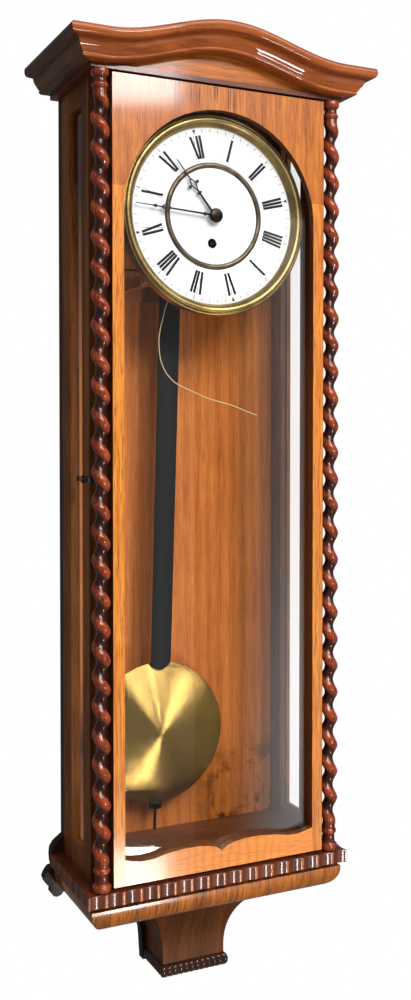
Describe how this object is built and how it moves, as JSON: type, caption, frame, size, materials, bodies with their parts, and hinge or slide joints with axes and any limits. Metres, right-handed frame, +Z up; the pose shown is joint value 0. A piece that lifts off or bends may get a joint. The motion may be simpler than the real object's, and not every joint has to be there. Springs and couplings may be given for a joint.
{
  "type": "regulator wall clock",
  "caption": "Regulator wall clock with a tall glazed case, twist columns beside a hinged door, a serpentine cornice, a two-piece enamel dial and a rod pendulum.",
  "frame": {"origin": "on the wall plane at the back of the backboard, on the case's centre line and level with the dial's centre", "axes": "+Z up, -Y out from the wall towards the viewer, +Y into the wall, +X to the viewer's right"},
  "size_m": [0.309, 0.1436, 0.9105],
  "materials": {
    "veneer": "honey-coloured veneer, varnished",
    "dark_wood": "dark brown stained wood, satin",
    "red_wood": "red-brown polished wood, glossy",
    "back_wood": "orange-brown stained board, satin",
    "black_wood": "black lacquered wood",
    "brass": "polished brass, a little tarnished",
    "steel": "blued steel",
    "iron": "black japanned iron",
    "enamel": "white fired enamel",
    "glass": "clear window glass",
    "gut": "pale gut"
  },
  "bodies": {
    "case": {"backboard": "back_wood", "hanger_plate": "iron", "left_side_frame": "dark_wood", "left_side_pane": "glass", "right_side_frame": "dark_wood", "right_side_pane": "glass", "floor_board": "back_wood", "soffit_board": "red_wood", "frieze_board": "veneer", "dust_board": "back_wood", "cornice_front": "red_wood", "cornice_return_left": "red_wood", "cornice_return_right": "red_wood", "fluted_band": "red_wood", "ovolo_base": "veneer", "pendant_block": "veneer", "pendant_bead": "red_wood", "upper_hinge_case_leaf": "brass", "lower_hinge_case_leaf": "brass", "hook_screw": "steel", "movement_bracket": "iron", "rail_screw_left": "steel", "rail_screw_right": "steel", "back_plate": "brass", "front_plate": "brass", "suspension_cock": "brass", "dial_plate": "brass", "chapter_ring": "enamel", "dial_centre": "enamel", "inner_ring": "brass", "bezel": "brass", "gut_line": "gut"},
    "door": {"door_top_panel": "veneer", "door_stile_left": "veneer", "door_stile_right": "veneer", "door_bottom_rail": "veneer", "door_pane": "glass", "column_left": "red_wood", "column_right": "red_wood", "upper_hinge_door_leaf": "brass", "lower_hinge_door_leaf": "brass", "hook_stud": "steel"},
    "latch_hook": {"latch_hook": "steel"},
    "drum": {"drum": "brass"},
    "great_wheel": {"great_wheel": "brass"},
    "centre_wheel": {"centre_wheel": "brass"},
    "third_wheel": {"third_wheel": "brass"},
    "escape_wheel": {"escape_wheel": "brass"},
    "anchor": {"anchor": "steel"},
    "pendulum": {"pendulum_rod": "black_wood", "suspension_spring": "steel"},
    "bob": {"bob": "brass"},
    "rating_nut": {"rating_nut": "brass"},
    "minute_hand": {"cannon_pinion": "brass", "minute_hand": "steel", "hand_nut": "brass"},
    "minute_wheel": {"minute_wheel": "brass"},
    "hour_hand": {"hour_wheel": "brass", "hour_hand": "steel"}
  },
  "joints": [
    {"name": "door_hinge", "type": "hinge", "parent": "case", "child": "door", "pos_m": [0.1231, -0.0872, 0], "axis": [0, 0, 1], "range_deg": [0, 105]},
    {"name": "latch_hook_turn", "type": "hinge", "parent": "case", "child": "latch_hook", "pos_m": [-0.1216, -0.072, -0.247], "axis": [-1, 0, 0], "range_deg": [0, 80]},
    {"name": "winding_turn", "type": "hinge", "parent": "case", "child": "drum", "pos_m": [-0.0015, -0.077, -0.0255], "axis": [0, 1, 0], "continuous": true},
    {"name": "minute_hand_turn", "type": "hinge", "parent": "case", "child": "minute_hand", "pos_m": [0, -0.1, 0], "axis": [0, 1, 0], "continuous": true},
    {"name": "minute_wheel_turn", "type": "hinge", "parent": "case", "child": "minute_wheel", "pos_m": [0.0099, -0.092, 0.0099], "axis": [0, 1, 0], "continuous": true},
    {"name": "hour_hand_turn", "type": "hinge", "parent": "case", "child": "hour_hand", "pos_m": [0, -0.1, 0], "axis": [0, 1, 0], "continuous": true},
    {"name": "escape_wheel_turn", "type": "hinge", "parent": "case", "child": "escape_wheel", "pos_m": [-0.015, -0.08, 0.02958], "axis": [0, 1, 0], "continuous": true},
    {"name": "third_wheel_turn", "type": "hinge", "parent": "case", "child": "third_wheel", "pos_m": [-0.01248, -0.075, 0.01297], "axis": [0, 1, 0], "continuous": true},
    {"name": "centre_wheel_turn", "type": "hinge", "parent": "case", "child": "centre_wheel", "pos_m": [0, -0.07, 0], "axis": [0, 1, 0], "continuous": true},
    {"name": "great_wheel_turn", "type": "hinge", "parent": "case", "child": "great_wheel", "pos_m": [-0.0015, -0.067, -0.0255], "axis": [0, 1, 0], "continuous": true},
    {"name": "pendulum_swing", "type": "hinge", "parent": "case", "child": "pendulum", "pos_m": [-0.015, -0.034, 0.04858], "axis": [0, 1, 0], "range_deg": [-3.7, 0.3]},
    {"name": "anchor_rock", "type": "hinge", "parent": "case", "child": "anchor", "pos_m": [-0.015, -0.07, 0.04858], "axis": [0, 1, 0], "range_deg": [-3.7, 0.3]},
    {"name": "rating_nut_turn", "type": "hinge", "parent": "bob", "child": "rating_nut", "pos_m": [-0.03329, -0.034, -0.57505], "axis": [0.0293, 0, 0.9996], "range_deg": [-1560, 1560]},
    {"name": "bob_slide", "type": "slide", "parent": "pendulum", "child": "bob", "axis": [0.0293, 0, 0.9996], "range_m": [-0.0041, 0.0041]}
  ],
  "couplings": [
    {"joint": "minute_wheel_turn", "follows": "minute_hand_turn", "ratio": -0.33333},
    {"joint": "hour_hand_turn", "follows": "minute_hand_turn", "ratio": 0.083333},
    {"joint": "third_wheel_turn", "follows": "escape_wheel_turn", "ratio": -0.11111},
    {"joint": "centre_wheel_turn", "follows": "escape_wheel_turn", "ratio": 0.012346},
    {"joint": "great_wheel_turn", "follows": "escape_wheel_turn", "ratio": -0.0013717},
    {"joint": "anchor_rock", "follows": "pendulum_swing", "ratio": 1},
    {"joint": "rating_nut_turn", "follows": "bob_slide", "rad_per_m": 6283.2}
  ]
}
